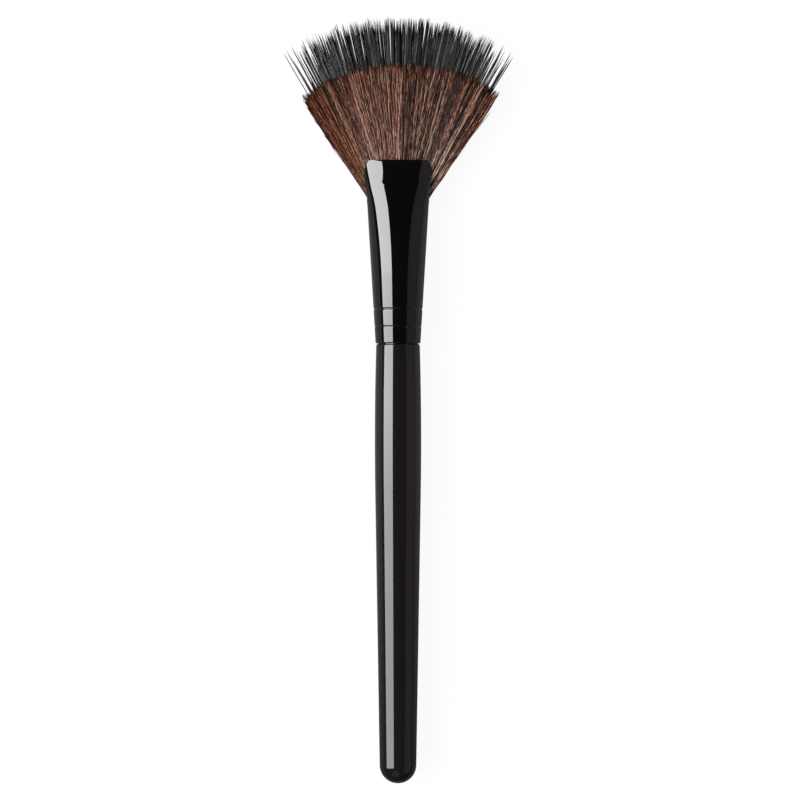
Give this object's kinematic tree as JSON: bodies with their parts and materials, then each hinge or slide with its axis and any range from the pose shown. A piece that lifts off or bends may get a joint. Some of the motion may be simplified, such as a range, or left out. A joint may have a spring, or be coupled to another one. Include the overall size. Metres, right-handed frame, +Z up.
{
  "type": "fan makeup brush",
  "caption": "Fan makeup brush with a tapered gloss black handle, a pressed black ferrule and a wide two-length fan head of brown and black fibres.",
  "frame": {"origin": "middle of the brush's length and width, on the surface that it lies on", "axes": "+Y along the handle towards the fan, +X across the fan, +Z up out of the fan's front face"},
  "size_m": [0.0573, 0.185, 0.013],
  "materials": {
    "lacquer": "gloss",
    "black_metal": "gloss",
    "resin": "satin",
    "black_fibre": "satin",
    "brown_fibre": "satin"
  },
  "bodies": {
    "root": {"handle": "lacquer", "ferrule": "black_metal", "resin_plug": "resin", "long_bristles": "black_fibre", "front_bristles": "brown_fibre", "back_bristles": "brown_fibre"}
  },
  "joints": []
}
